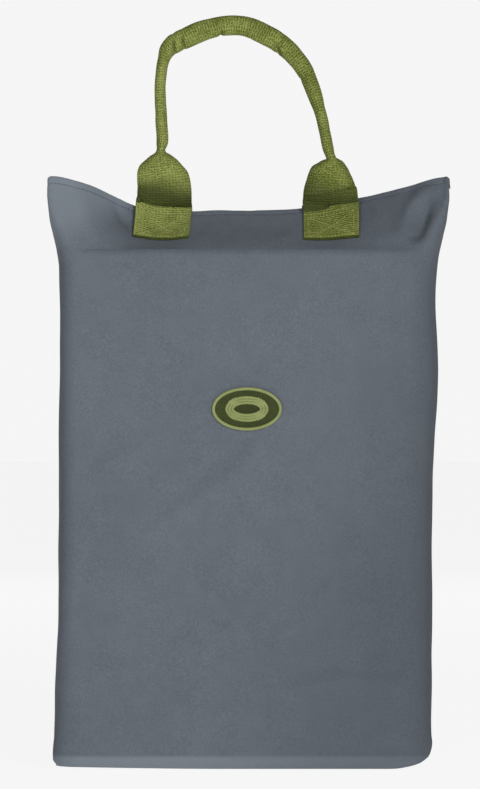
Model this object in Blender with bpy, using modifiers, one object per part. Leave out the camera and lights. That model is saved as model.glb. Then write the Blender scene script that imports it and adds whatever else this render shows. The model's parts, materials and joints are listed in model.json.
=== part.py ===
"""Rope storage bag: a boxy cloth tote with loose stiffener boards, a soft collar round its mouth and two webbing
handles.

The frame: +Z up, the front faces -Y, and the origin is the middle of the underside. Metres throughout.
The bag is the same turned half round about Z, so each piece is drawn for the front or the left and turned for
the back or the right. The handles' loops are mirrored instead: the front one stands and the back one has fallen.
"""

from math import atan2, cos, pi, sin

import bpy
from mathutils import Matrix, Vector

# Driving dimensions
FACE_WIDTH = 0.328  # the front face, from side seam to side seam
BODY_DEPTH = 0.100
LEDGE_HEIGHT = 0.471  # where the cloth folds in over the boards
BASE_RADIUS = 0.012  # the rounded edge round the base
SIDE_BULGE = 0.006  # how far the sides stand out past the seams
CLOTH = 0.0012
GAP = 0.0004  # between touching pieces

# The collar: the cloth above the boards
HEM_DEPTH = 0.005  # the closed mouth's lips stand this far from the mid plane
HEM_HEIGHT = 0.5065
EAR_HEIGHT = 0.535
EAR_CORNER = Vector((0.174, 0.0374))  # the mouth's corner, in plan
EAR_START = 0.445  # the height where the sides begin to flare
FLARE_LENGTH = 0.065
EAR_FLARE = 0.012
FLAP_HALF_WIDTH = 0.106  # the part of the collar that opens
HEM_WIDTH = 0.009
HEM_CLOTH = 0.0010

# The boards
BOARD = 0.002
BOARD_TOP = 0.468
BOARD_CORNER = 0.025

# Webbing
WEBBING_WIDTH = 0.050
WEBBING = 0.0018
HANDLE_ROOTS = {"left": -0.0745, "right": 0.0800}  # the middles of a handle's two ends
SEWN_LENGTH = 0.0465
ROOT_RADIUS = 0.004  # the turn from the sewn end up into the handle
HANDLE_PIVOT = Vector((0.0, -0.0080, 0.5155))
BACK_HANDLE_LEAN = 110 * pi / 180  # the back handle has fallen over behind the bag
THREAD = 0.0004
CORE_RADIUS = 0.0042

# The badge
BADGE_HALF_WIDTH = 0.0315
BADGE_HALF_HEIGHT = 0.0195
BADGE_CENTRE = Vector((0.003, -BODY_DEPTH / 2, 0.327))

COLLAR_PIVOT = Vector((0.0, -(BODY_DEPTH - CLOTH) / 2, LEDGE_HEIGHT))
SLOPE_ANGLE = atan2(HEM_HEIGHT - LEDGE_HEIGHT, BODY_DEPTH / 2 - HEM_DEPTH)
UP_SLOPE = Vector((0.0, cos(SLOPE_ANGLE), sin(SLOPE_ANGLE)))
OFF_SLOPE = Vector((0.0, -sin(SLOPE_ANGLE), cos(SLOPE_ANGLE)))
SLOPE_LENGTH = ((HEM_HEIGHT - LEDGE_HEIGHT) ** 2 + (BODY_DEPTH / 2 - HEM_DEPTH) ** 2) ** 0.5

# A handle from its left root to its right one, as (x, ridge y, z, curl, width scale, depth scale). The ridge is the
# middle of the webbing, curl is how far its two edges have rolled back towards each other, in radians round the
# section, and the scales press the rolled section out of round.
TUBE = 2 * pi * 0.94
HANDLE_STATIONS = (
    (-0.0745, -0.0080, 0.5160, 0.25, 1.00, 1.00),
    (-0.0742, -0.0120, 0.5215, 0.40, 1.00, 1.00),
    (-0.0738, -0.0160, 0.5285, 0.70, 1.00, 1.00),
    (-0.0736, -0.0188, 0.5370, 1.10, 1.00, 1.00),
    (-0.0740, -0.0205, 0.5450, 1.80, 1.00, 1.00),
    (-0.0748, -0.0218, 0.5520, 3.20, 0.90, 1.05),
    (-0.0753, -0.0232, 0.5580, 5.00, 0.56, 1.18),
    (-0.0754, -0.0240, 0.5640, TUBE, 0.50, 1.24),
    (-0.0744, -0.0236, 0.5720, TUBE, 0.64, 1.18),
    (-0.0752, -0.0233, 0.5900, TUBE, 0.67, 1.16),
    (-0.0763, -0.0230, 0.6180, TUBE, 0.65, 1.15),
    (-0.0752, -0.0229, 0.6340, TUBE, 0.64, 1.15),
    (-0.0730, -0.0228, 0.6455, TUBE, 0.70, 1.10),
    (-0.0695, -0.0224, 0.6545, TUBE, 0.94, 0.98),
    (-0.0630, -0.0220, 0.6603, TUBE, 1.12, 0.86),
    (-0.0530, -0.0216, 0.6652, TUBE, 1.18, 0.82),
    (-0.0370, -0.0212, 0.6721, TUBE, 1.18, 0.82),
    (-0.0223, -0.0211, 0.6759, TUBE, 1.14, 0.82),
    (-0.0085, -0.0210, 0.6771, TUBE, 1.13, 0.82),
    (0.0040, -0.0210, 0.6754, TUBE, 1.13, 0.82),
    (0.0161, -0.0210, 0.6704, TUBE, 1.16, 0.82),
    (0.0315, -0.0211, 0.6620, TUBE, 1.13, 0.84),
    (0.0429, -0.0214, 0.6525, TUBE, 1.06, 0.88),
    (0.0534, -0.0218, 0.6400, TUBE, 0.98, 0.94),
    (0.0616, -0.0223, 0.6230, TUBE, 0.88, 1.00),
    (0.0668, -0.0227, 0.6085, TUBE, 0.79, 1.06),
    (0.0704, -0.0230, 0.5970, TUBE, 0.66, 1.13),
    (0.0746, -0.0234, 0.5780, TUBE, 0.64, 1.16),
    (0.0784, -0.0239, 0.5610, TUBE, 0.56, 1.21),
    (0.0803, -0.0240, 0.5550, 5.40, 0.54, 1.20),
    (0.0806, -0.0228, 0.5505, 3.40, 0.88, 1.05),
    (0.0804, -0.0210, 0.5440, 2.10, 1.00, 1.00),
    (0.0800, -0.0188, 0.5365, 1.30, 1.00, 1.00),
    (0.0799, -0.0160, 0.5285, 0.80, 1.00, 1.00),
    (0.0800, -0.0120, 0.5215, 0.40, 1.00, 1.00),
    (0.0800, -0.0080, 0.5160, 0.25, 1.00, 1.00),
)
CORE_STATIONS = (14, 25)  # the grip's filler cord lies between these two
SEAM_STATIONS = (8.3, 27.6)  # and the rolled webbing's seam between these

HALF_TURN = Matrix.Rotation(pi, 4, "Z")
FALL_BACK = Matrix.Rotation(-BACK_HANDLE_LEAN, 4, "X")


def smooth(t):
    """0 to 1 with level ends."""
    t = min(1.0, max(0.0, t))
    return t * t * (3 - 2 * t)


def between(a, b, t):
    return a + (b - a) * t


# Materials and scene


def clear_scene():
    for obj in list(bpy.data.objects):
        bpy.data.objects.remove(obj)


def material(name, colour, roughness):
    made = bpy.data.materials.new(name)
    made.use_nodes = True
    shader = made.node_tree.nodes["Principled BSDF"]
    shader.inputs["Base Color"].default_value = (*colour, 1.0)
    shader.inputs["Roughness"].default_value = roughness
    shader.inputs["Metallic"].default_value = 0.0
    return made


def make_materials():
    return {
        "cloth": material("grey_cloth", (0.125, 0.145, 0.170), 0.85),
        "webbing": material("olive_webbing", (0.175, 0.200, 0.048), 0.80),
        "thread": material("olive_thread", (0.230, 0.260, 0.070), 0.60),
        "board": material("black_board", (0.020, 0.020, 0.022), 0.50),
        "tape": material("binding_tape", (0.060, 0.070, 0.085), 0.80),
        "core": material("filler_cord", (0.550, 0.530, 0.480), 0.90),
        "badge": material("badge_twill", (0.280, 0.330, 0.110), 0.75),
        "badge_thread": material("badge_thread", (0.045, 0.060, 0.018), 0.55),
    }


def joint_empty(name, place):
    empty = bpy.data.objects.new(name, None)
    empty.location = place
    bpy.context.scene.collection.objects.link(empty)
    return empty


class Bag:
    """Collects the pieces, each in the bag's collection, with its material and its parent."""

    def __init__(self):
        self.collection = bpy.data.collections.new("rope_storage_bag")
        bpy.context.scene.collection.children.link(self.collection)
        self.materials = make_materials()
        turned = HALF_TURN.to_3x3()
        self.parents = {
            "bag": joint_empty("bag", Vector()),
            "front_collar": joint_empty("front_collar_pivot", COLLAR_PIVOT),
            "back_collar": joint_empty("back_collar_pivot", turned @ COLLAR_PIVOT),
            "front_handle": joint_empty("front_handle_pivot", HANDLE_PIVOT),
            "back_handle": joint_empty("back_handle_pivot", turned @ HANDLE_PIVOT),
        }

    def add(self, obj, name, look, body="bag", turn=False):
        """Names obj and hangs it on its body. Its shape is drawn in the bag's frame, and turned half round if asked."""
        obj.name = name
        obj.data.name = name
        for collection in list(obj.users_collection):
            collection.objects.unlink(obj)
        self.collection.objects.link(obj)
        obj.data.materials.append(self.materials[look])
        placed = obj.matrix_basis.copy()
        if turn:
            placed = HALF_TURN @ placed
        parent = self.parents[body]
        if obj.type == "MESH":
            obj.data.transform(Matrix.Translation(-parent.location) @ placed)
            obj.matrix_basis = Matrix.Identity(4)
        else:
            obj.matrix_basis = Matrix.Translation(-parent.location) @ placed
        obj.parent = parent
        return obj


# Shapes


def box(low, high, corner=0.0):
    """A plate or block between two corners. corner rounds its upright edges' short side, along the thin axis."""
    low, high = Vector(low), Vector(high)
    bpy.ops.mesh.primitive_cube_add(size=1.0)
    obj = bpy.context.object
    obj.data.transform(Matrix.Diagonal((*(high - low), 1.0)))
    obj.data.transform(Matrix.Translation((low + high) / 2))
    if corner:
        round_thin_edges(obj, low, high, corner)
    return obj


def round_thin_edges(obj, low, high, radius):
    """Rounds a plate's four corners: the edges that run through its thickness."""
    size = high - low
    thin = min(range(3), key=lambda k: size[k])
    weights = obj.data.attributes.new("bevel_weight_edge", "FLOAT", "EDGE")
    for edge in obj.data.edges:
        a, b = (obj.data.vertices[i].co for i in edge.vertices)
        along = max(range(3), key=lambda k: abs(a[k] - b[k]))
        weights.data[edge.index].value = 1.0 if along == thin else 0.0
    bevel = obj.modifiers.new("rounded_corners", "BEVEL")
    bevel.limit_method = "WEIGHT"
    bevel.width = radius
    bevel.segments = 5


def sheet(columns, rows, place, thickness):
    """Cloth or webbing: a grid laid on the surface place(across, up), both from 0 to 1, with its thickness behind it."""
    bpy.ops.mesh.primitive_grid_add(x_subdivisions=columns, y_subdivisions=rows, size=2.0)
    obj = bpy.context.object
    for vertex in obj.data.vertices:
        vertex.co = place((vertex.co.x + 1) / 2, (vertex.co.y + 1) / 2)
    solidify = obj.modifiers.new("thickness", "SOLIDIFY")
    solidify.thickness = thickness
    solidify.offset = -1.0
    solidify.use_even_offset = True
    return obj


def tube(points, radius, resolution):
    """A round cord through the points."""
    curve = bpy.data.curves.new("tube", "CURVE")
    curve.dimensions = "3D"
    curve.bevel_depth = radius
    curve.bevel_resolution = resolution
    curve.use_fill_caps = True
    spline = curve.splines.new("POLY")
    spline.points.add(len(points) - 1)
    for point, place in zip(spline.points, points):
        point.co = (*place, 1.0)
    obj = bpy.data.objects.new("tube", curve)
    bpy.context.scene.collection.objects.link(obj)
    return obj


def flat_outlines(outlines, thickness):
    """A flat piece in the XY plane. The first outline is its edge, and the others are holes in it."""
    curve = bpy.data.curves.new("outline", "CURVE")
    curve.dimensions = "2D"
    curve.fill_mode = "BOTH"
    curve.extrude = thickness / 2
    for outline in outlines:
        spline = curve.splines.new("POLY")
        spline.use_cyclic_u = True
        spline.points.add(len(outline) - 1)
        for point, (x, y) in zip(spline.points, outline):
            point.co = (x, y, 0.0, 1.0)
    obj = bpy.data.objects.new("outline", curve)
    bpy.context.scene.collection.objects.link(obj)
    return obj


def ellipse(half_width, half_height, count=40):
    steps = (2 * pi * k / count for k in range(count))
    return [(half_width * cos(a), half_height * sin(a)) for a in steps]


# The body of the bag


def wall_profile(up):
    """(inset, height) up a wall from the base's edge to the ledge: a quarter round, then a straight."""
    arc_share = 0.8
    if up < arc_share:
        turn = up / arc_share * pi / 2
        return BASE_RADIUS * (1 - sin(turn)), BASE_RADIUS * (1 - cos(turn))
    rise = (up - arc_share) / (1 - arc_share)
    return 0.0, between(BASE_RADIUS, LEDGE_HEIGHT - 0.001, rise)


def front_panel_point(across, up):
    inset, height = wall_profile(up)
    half = FACE_WIDTH / 2 + GAP - inset
    return between(-half, half, across), -BODY_DEPTH / 2 + inset, height


def flare(height):
    """How far the sides lean out at a height, 0 to 1."""
    return smooth((height - EAR_START) / FLARE_LENGTH)


def gusset_point(across, up):
    """The left side, from the base to the ear. across runs from the back seam to the front one."""
    wall_share = 0.5
    if up < wall_share:
        inset, height = wall_profile(up / wall_share)
        height = min(height, EAR_START)
    else:
        inset, height = 0.0, between(EAR_START, EAR_HEIGHT, (up - wall_share) / (1 - wall_share))
    ear = smooth((height - LEDGE_HEIGHT) / (EAR_HEIGHT - LEDGE_HEIGHT))
    seam = BODY_DEPTH / 2 - CLOTH - GAP - inset
    seam = between(seam, EAR_CORNER.y - CLOTH - GAP - 0.0006, ear)
    y = between(seam, -seam, across)
    bulge = SIDE_BULGE * (1 + ear / 3) * (1 - (2 * across - 1) ** 2)
    bulge *= 1 - inset / BASE_RADIUS
    lean = (EAR_FLARE - SIDE_BULGE / 3) * flare(height)
    return -(FACE_WIDTH / 2 + lean + bulge - inset), y, height


def make_body(bag):
    half_x, half_y = FACE_WIDTH / 2 - BASE_RADIUS - GAP, BODY_DEPTH / 2 - BASE_RADIUS - GAP
    for name, turn in (("front", False), ("back", True)):
        bag.add(sheet(2, 5, front_panel_point, CLOTH), f"{name}_panel", "cloth", turn=turn)
    for name, turn in (("left", False), ("right", True)):
        bag.add(sheet(6, 10, gusset_point, CLOTH), f"{name}_gusset", "cloth", turn=turn)
    bag.add(box((-half_x, -half_y, 0), (half_x, half_y, CLOTH)), "base_panel", "cloth")


def make_seam_bindings(bag):
    """The tape that wraps each seam's raw edge, inside the bag."""
    tape, inner = 0.0026, GAP / 2
    x1 = FACE_WIDTH / 2 - CLOTH - inner
    y1 = BODY_DEPTH / 2 - CLOTH - inner
    for side, sign in (("left", -1), ("right", 1)):
        for name, turn in (("front", False), ("back", True)):
            x = sign * (x1 - tape / 2) * (-1 if turn else 1)
            low = (x - tape / 2, -y1, BASE_RADIUS + GAP)
            high = (x + tape / 2, -y1 + tape, LEDGE_HEIGHT - 0.005)
            bag.add(box(low, high), f"{name}_{side}_seam_binding", "tape", turn=turn)


def make_boards(bag):
    """Five loose boards line the bag and hold it square."""
    face_x = FACE_WIDTH / 2 - 0.0062
    face_y = BODY_DEPTH / 2 - CLOTH - GAP
    side_x = FACE_WIDTH / 2 - CLOTH - GAP
    side_y = face_y - BOARD - 2 * GAP
    foot = BASE_RADIUS + 2 * GAP
    base_z = 0.0055
    for name, turn in (("front", False), ("back", True)):
        board = box((-face_x, -face_y, foot), (face_x, -face_y + BOARD, BOARD_TOP), BOARD_CORNER)
        bag.add(board, f"{name}_stiffener_board", "board", turn=turn)
    for name, turn in (("left", False), ("right", True)):
        low, high = (-side_x, -side_y + 0.0010, foot), (-side_x + BOARD, side_y - 0.0010, BOARD_TOP)
        bag.add(box(low, high), f"{name}_stiffener_board", "board", turn=turn)
    low, high = (-face_x + 0.0005, -side_y, base_z), (face_x - 0.0005, side_y, base_z + BOARD)
    bag.add(box(low, high), "base_stiffener_board", "board")


# The collar


def on_slope(along, off, x=0.0):
    """A point of the front collar's plane: along from the pivot up the slope, off from it outwards."""
    return COLLAR_PIVOT + UP_SLOPE * along + OFF_SLOPE * off + Vector((x, 0, 0))


def flap_point(across, up):
    x = between(-FLAP_HALF_WIDTH, FLAP_HALF_WIDTH, across)
    return on_slope(between(0.0004, SLOPE_LENGTH, up), CLOTH / 2, x)


def wing_point(across, up):
    """The front collar's left end, from the ear's corner in to the flap."""
    near = FLAP_HALF_WIDTH + GAP
    foot_height = LEDGE_HEIGHT + 0.0006
    foot = Vector((-between(FACE_WIDTH / 2 + GAP, near, across), -BODY_DEPTH / 2, foot_height))
    rise = 1 - across
    hem_x = -between(EAR_CORNER.x, near, across)
    flap_hem = on_slope(SLOPE_LENGTH, CLOTH / 2)
    hem_y = between(flap_hem.y, -EAR_CORNER.y, rise)
    hem_z = between(flap_hem.z, EAR_HEIGHT, rise)
    return foot.lerp(Vector((hem_x, hem_y, hem_z)), up)


def mirrored(place):
    """The same surface on the other side of the YZ plane, still facing out."""

    def other(across, up):
        x, y, z = place(1 - across, up)
        return -x, y, z

    return other


def lining(place, length, cloth):
    """A strip behind the top edge of the surface place, such as a hem turned to the inside."""

    def behind(across, up):
        step = 0.01
        share = 1 - HEM_WIDTH / length * (1 - up)
        here = Vector(place(across, share))
        side = Vector(place(min(1, across + step), share)) - Vector(place(max(0, across - step), share))
        rise = Vector(place(across, 1.0)) - Vector(place(across, 1.0 - step))
        inward = -side.cross(rise).normalized()
        return here + inward * (cloth + GAP)

    return behind


def make_collar(bag, name, turn):
    """The flap that opens, and the wings that join it to the ears."""
    body = f"{name}_collar"
    bag.add(sheet(2, 2, flap_point, CLOTH), body, "cloth", body, turn)
    hem = lining(flap_point, SLOPE_LENGTH, CLOTH)
    bag.add(sheet(2, 2, hem, HEM_CLOTH), f"{name}_collar_hem", "cloth", body, turn)
    wings = {"left": wing_point, "right": mirrored(wing_point)}
    for side in ("left", "right"):
        place = wings[side]
        if turn:
            place = wings["right" if side == "left" else "left"]
        bag.add(sheet(6, 4, place, CLOTH), f"{name}_collar_{side}_wing", "cloth", turn=turn)
        hem = short_of_ends(lining(place, EAR_HEIGHT - LEDGE_HEIGHT, CLOTH), 0.07)
        bag.add(sheet(6, 2, hem, HEM_CLOTH), f"{name}_{side}_wing_hem", "cloth", turn=turn)


def short_of_ends(place, share):
    return lambda across, up: place(between(share, 1 - share, across), up)


def make_ear_hems(bag):
    """The hem across the top of each side."""
    hem = short_of_ends(lining(gusset_point, 2 * (EAR_HEIGHT - EAR_START), CLOTH), 0.04)
    for name, turn in (("left", False), ("right", True)):
        bag.add(sheet(6, 2, hem, HEM_CLOTH), f"{name}_gusset_hem", "cloth", turn=turn)


# The handles


def webbing_end_profile(up):
    """(y, z) up a sewn end: flat on the collar, then round a tight turn towards the handle."""
    off = CLOTH / 2 + GAP + WEBBING
    flat_share = 0.3
    if up <= flat_share:
        start = SLOPE_LENGTH - SEWN_LENGTH
        place = on_slope(between(start, SLOPE_LENGTH, up / flat_share), off)
        return place.y, place.z
    turn = (up - flat_share) / (1 - flat_share) * 1.5
    centre = on_slope(SLOPE_LENGTH, off + ROOT_RADIUS - WEBBING)
    facing = UP_SLOPE * sin(turn) - OFF_SLOPE * cos(turn)
    place = centre + facing * (ROOT_RADIUS - WEBBING)
    return place.y, place.z


def box_stitch_outlines():
    """A square of stitching with a cross in it, as one edge and four three-cornered holes."""
    half, line = 0.0200, 0.0008
    inner = half - line
    slant = line * 0.71
    outlines = [[(-half, -half), (half, -half), (half, half), (-half, half)]]
    for quarter in range(4):
        spin = Matrix.Rotation(quarter * pi / 2, 2)
        corners = ((-inner + slant, inner), (inner - slant, inner), (0.0, slant))
        outlines.append([tuple(spin @ Vector(corner)) for corner in corners])
    return outlines


def make_sewn_ends(bag, name, turn):
    body = f"{name}_collar"
    for side, root in HANDLE_ROOTS.items():
        middle = -root if turn else root

        def place(across, up, middle=middle):
            y, z = webbing_end_profile(up)
            return middle + (across - 0.5) * WEBBING_WIDTH, y, z

        bag.add(sheet(2, 10, place, WEBBING), f"{name}_{side}_webbing_end", "webbing", body, turn)
        stitches = flat_outlines(box_stitch_outlines(), THREAD)
        centre = on_slope(SLOPE_LENGTH - SEWN_LENGTH / 2 - 0.0005, CLOTH / 2 + 2 * GAP + WEBBING + THREAD / 2, middle)
        stitches.matrix_basis = Matrix.Translation(centre) @ Matrix.Rotation(SLOPE_ANGLE, 4, "X")
        bag.add(stitches, f"{name}_{side}_box_stitching", "thread", body, turn)


def spline_value(values, t):
    """Catmull-Rom through values at whole t."""
    last = len(values) - 1
    k = min(int(t), last - 1)
    f = t - k
    a, b, c, d = (values[min(max(k + step, 0), last)] for step in (-1, 0, 1, 2))
    return b + 0.5 * f * (c - a + f * (2 * a - 5 * b + 4 * c - d + f * (3 * (b - c) + d - a)))


class HandlePath:
    """A handle's ridge line and its section along it, at t from 0 to 1 from the left root to the right one."""

    def __init__(self, back):
        self.mirror = -1 if back else 1
        self.lines = [
            [station[0] for station in HANDLE_STATIONS],
            [station[1] * self.mirror for station in HANDLE_STATIONS],
            [station[2] for station in HANDLE_STATIONS],
        ]
        self.section = [[station[k] for station in HANDLE_STATIONS] for k in (3, 4, 5)]

    def ridge(self, t):
        at = t * (len(HANDLE_STATIONS) - 1)
        return Vector([spline_value(line, at) for line in self.lines])

    def frame(self, t):
        """The ridge point, the way out from the bag, and the way in towards the loop's middle."""
        step = 0.002
        ahead = (self.ridge(min(1, t + step)) - self.ridge(max(0, t - step))).normalized()
        out = Vector((0, -self.mirror, 0))
        out = (out - ahead * out.dot(ahead)).normalized()
        return self.ridge(t), out, ahead.cross(out) * self.mirror

    def scales(self, t):
        at = t * (len(HANDLE_STATIONS) - 1)
        curl, width, depth = (spline_value(values, at) for values in self.section)
        return min(curl, TUBE), width, depth

    def webbing(self, across, along):
        """A point of the webbing. across runs over its width."""
        ridge, out, inner = self.frame(along)
        curl, width, depth = self.scales(along)
        side = (2 * across - 1) * self.mirror
        radius, angle = WEBBING_WIDTH / curl, side * curl / 2
        return ridge + inner * (radius * sin(angle) * width) - out * (radius * (1 - cos(angle)) * depth)

    def behind(self, t, share):
        """A point inside or behind the rolled section: share 0 is the ridge and 1 the seam opposite it."""
        ridge, out, _ = self.frame(t)
        curl, _, depth = self.scales(t)
        return ridge - out * (2 * WEBBING_WIDTH / curl * depth * share)


def make_handle(bag, name):
    back = name == "back"
    path = HandlePath(back)
    last = len(HANDLE_STATIONS) - 1
    core = [path.behind(between(*CORE_STATIONS, k / 16) / last, 0.5) for k in range(17)]
    seam = []
    for k in range(49):
        t = between(*SEAM_STATIONS, k / 48) / last
        outward = path.frame(t)[1]
        seam.append(path.behind(t, 1.0) - outward * (THREAD + GAP))
    pieces = (
        (sheet(12, 58, path.webbing, WEBBING), "handle_webbing", "webbing"),
        (tube(core, CORE_RADIUS, 1), "grip_core", "core"),
        (tube(seam, THREAD, 0), "grip_stitching", "thread"),
    )
    pivot = bag.parents[f"{name}_handle"].location
    for obj, part, look in pieces:
        if back:
            obj.matrix_basis = Matrix.Translation(pivot) @ FALL_BACK @ Matrix.Translation(-pivot) @ obj.matrix_basis
        bag.add(obj, f"{name}_{part}", look, f"{name}_handle")


# The badge


def rope_coil_outline():
    """The badge's raised figure: a plain oval coil of rope, tied at four places."""

    def around(half_width, half_height, tie):
        ring = []
        for k in range(96):
            angle = 2 * pi * k / 96
            out = tie if abs(k % 24 - 12) <= 2 else 0.0
            ring.append(((half_width + out) * cos(angle), (half_height + out) * sin(angle)))
        return ring

    return [around(0.0190, 0.0112, 0.0008), around(0.0124, 0.0052, -0.0006)]


def make_badge(bag):
    upright = Matrix.Rotation(pi / 2, 4, "X")
    ground, border, figure = 0.0007, 0.0011, 0.0005
    rim = 0.0022

    def stand(obj, distance, name, look):
        obj.matrix_basis = Matrix.Translation(BADGE_CENTRE - Vector((0, distance, 0))) @ upright
        bag.add(obj, name, look)

    field = ellipse(BADGE_HALF_WIDTH - rim - GAP / 2, BADGE_HALF_HEIGHT - rim - GAP / 2)
    stand(flat_outlines([field], ground), GAP + ground / 2, "badge_ground", "badge")
    edge = ellipse(BADGE_HALF_WIDTH, BADGE_HALF_HEIGHT)
    hole = ellipse(BADGE_HALF_WIDTH - rim, BADGE_HALF_HEIGHT - rim)
    stand(flat_outlines([edge, hole], border), GAP + border / 2, "badge_border", "thread")
    coil = flat_outlines(rope_coil_outline(), figure)
    stand(coil, 2 * GAP + ground + figure / 2, "badge_figure", "badge_thread")


def main():
    clear_scene()
    bag = Bag()
    make_body(bag)
    make_seam_bindings(bag)
    make_boards(bag)
    for name, turn in (("front", False), ("back", True)):
        make_collar(bag, name, turn)
        make_sewn_ends(bag, name, turn)
        make_handle(bag, name)
    make_ear_hems(bag)
    make_badge(bag)


main()
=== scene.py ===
"""The looks of the rope storage bag: sewn grey cloth over loose boards, a soft collar and two olive webbing handles.

Metres, +Z up, and the front faces -Y, as in the CAD. The cloth is one closed skin. Its front is drawn from seam to
seam and its back is the front mirrored, and each piece is cut from that skin where the real bag has a seam or where
two bodies of the frame meet.
"""

import json
from math import cos, pi, radians, sin

import bpy
import numpy as np
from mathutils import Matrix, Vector, noise


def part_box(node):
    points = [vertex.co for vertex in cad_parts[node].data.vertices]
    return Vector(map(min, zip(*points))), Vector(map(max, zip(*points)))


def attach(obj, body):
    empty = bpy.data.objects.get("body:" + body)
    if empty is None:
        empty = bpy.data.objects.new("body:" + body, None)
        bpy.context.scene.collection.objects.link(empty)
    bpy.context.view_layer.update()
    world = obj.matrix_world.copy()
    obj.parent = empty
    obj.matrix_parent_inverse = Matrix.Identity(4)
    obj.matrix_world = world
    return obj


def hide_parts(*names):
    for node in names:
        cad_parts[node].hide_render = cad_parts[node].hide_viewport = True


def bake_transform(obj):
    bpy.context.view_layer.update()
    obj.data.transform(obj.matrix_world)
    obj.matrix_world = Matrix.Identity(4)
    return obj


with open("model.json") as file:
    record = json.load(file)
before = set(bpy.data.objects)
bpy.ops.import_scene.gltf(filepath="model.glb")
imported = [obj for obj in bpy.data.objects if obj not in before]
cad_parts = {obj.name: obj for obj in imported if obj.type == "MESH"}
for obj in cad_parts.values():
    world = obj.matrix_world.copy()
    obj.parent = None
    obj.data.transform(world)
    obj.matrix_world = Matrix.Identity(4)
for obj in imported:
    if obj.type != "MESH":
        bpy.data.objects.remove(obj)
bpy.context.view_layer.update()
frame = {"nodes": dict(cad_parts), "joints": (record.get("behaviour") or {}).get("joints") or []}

# The frame's own sizes
FRONT_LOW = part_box("front_panel")[0]
JOINTS = {joint["name"]: joint for joint in frame["joints"]}
COLLAR_FOLD = Vector(JOINTS["front_collar_fold"]["pos_m"])
HANDLE_PIVOT = Vector(JOINTS["front_handle_swing"]["pos_m"])
BACK_HANDLE_LEAN = radians(JOINTS["back_handle_swing"]["range_deg"][1])

# Cloth
CLOTH = 0.0009
BASE_RADIUS = 0.011
LEDGE_RADIUS = 0.010  # the cloth's bend over the boards' top
FACE_BULGE = 0.0012
SEAM_ANGLE = radians(78)  # how far round the corner the side seam lies
HEM_WIDTH = 0.009
CUT_EDGE = radians(62)
HEM_FOLD = 0.0011
HEM_STITCH_DROP = 0.0052
MOUTH_HALF_GAP = 0.0050

# The bag's half width at its sides' fullest, by height. The cloth is fuller on the right.
LEFT_SIDE = (
    (0.000, 0.1712), (0.004, 0.1732), (0.018, 0.1738), (0.100, 0.1722), (0.230, 0.1694), (0.455, 0.1692),
    (0.471, 0.1712), (0.486, 0.1744), (0.503, 0.1778), (0.520, 0.1788), (0.536, 0.1784),
)
RIGHT_SIDE = (
    (0.000, 0.1440), (0.003, 0.1560), (0.006, 0.1630), (0.011, 0.1695), (0.025, 0.1733), (0.250, 0.1733),
    (0.300, 0.1752), (0.360, 0.1786), (0.430, 0.1752), (0.462, 0.1782), (0.485, 0.1828), (0.503, 0.1866),
    (0.520, 0.1878), (0.536, 0.1868),
)
# How high the base's front edge lies above the floor, across the bag
BASE_LIFT = (
    (-0.175, 0.0046), (-0.160, 0.0021), (-0.115, 0.0010), (-0.020, 0.0), (0.135, 0.0), (0.160, 0.0004),
    (0.170, 0.0022),
)

# The mouth's edge on the left and on the right, by share of the half width: its height, its distance from the mid
# plane, and how steeply the cloth stands below it
HEM_HEIGHT = (
    ((0.0, 0.5082), (0.32, 0.5072), (0.47, 0.5085), (0.56, 0.5135), (0.64, 0.5205), (0.73, 0.5275), (0.81, 0.5317),
     (0.93, 0.5358), (1.0, 0.5345)),
    ((0.0, 0.5082), (0.20, 0.5085), (0.26, 0.5097), (0.42, 0.5150), (0.57, 0.5205), (0.68, 0.5253), (0.80, 0.5310),
     (0.91, 0.5358), (0.96, 0.5366), (1.0, 0.5350)),
)
HEM_DEPTH = (
    ((0.0, 0.0), (0.38, 0.0), (0.60, 0.0100), (0.74, 0.0290), (0.84, 0.0420), (1.0, 0.0450)),
    ((0.0, 0.0), (0.45, 0.0), (0.65, 0.0040), (0.80, 0.0130), (0.90, 0.0240), (1.0, 0.0340)),
)
HEM_STEEPNESS = (
    ((0.0, 46.0), (0.25, 50.0), (0.42, 66.0), (0.60, 80.0), (0.76, 96.0), (1.0, 94.0)),
    ((0.0, 46.0), (0.25, 48.0), (0.42, 60.0), (0.60, 50.0), (0.78, 60.0), (0.92, 80.0), (1.0, 86.0)),
)
LEDGE_BEND = (
    ((0.0, 45.0), (0.25, 48.0), (0.42, 66.0), (0.60, 55.0), (0.76, 24.0), (0.90, 8.0), (1.0, 0.0)),
    ((0.0, 45.0), (0.25, 48.0), (0.42, 60.0), (0.60, 48.0), (0.80, 34.0), (0.97, 0.0), (1.0, 0.0)),
)

# Webbing
WEBBING_WIDTH = 0.050
WEBBING = 0.0018
ROOTS = ((-0.0752, -0.0724), (0.0797, 0.0802))  # the sewn ends' middles, left and right, at their feet and tops
SEWN_END_FOOT, SEWN_END_TOP = 0.4792, 0.5112

# Badge
BADGE_CENTRE = (0.003, FRONT_LOW.y - 0.0029, 0.3265)
BADGE_HALF_WIDTH, BADGE_HALF_HEIGHT = 0.0315, 0.0195
BORDER = 0.0013  # the border cord's radius


# Numbers


def smooth(t):
    t = np.clip(t, 0, 1)
    return t * t * (3 - 2 * t)


def mix(a, b, t):
    return a + (b - a) * t


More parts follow.
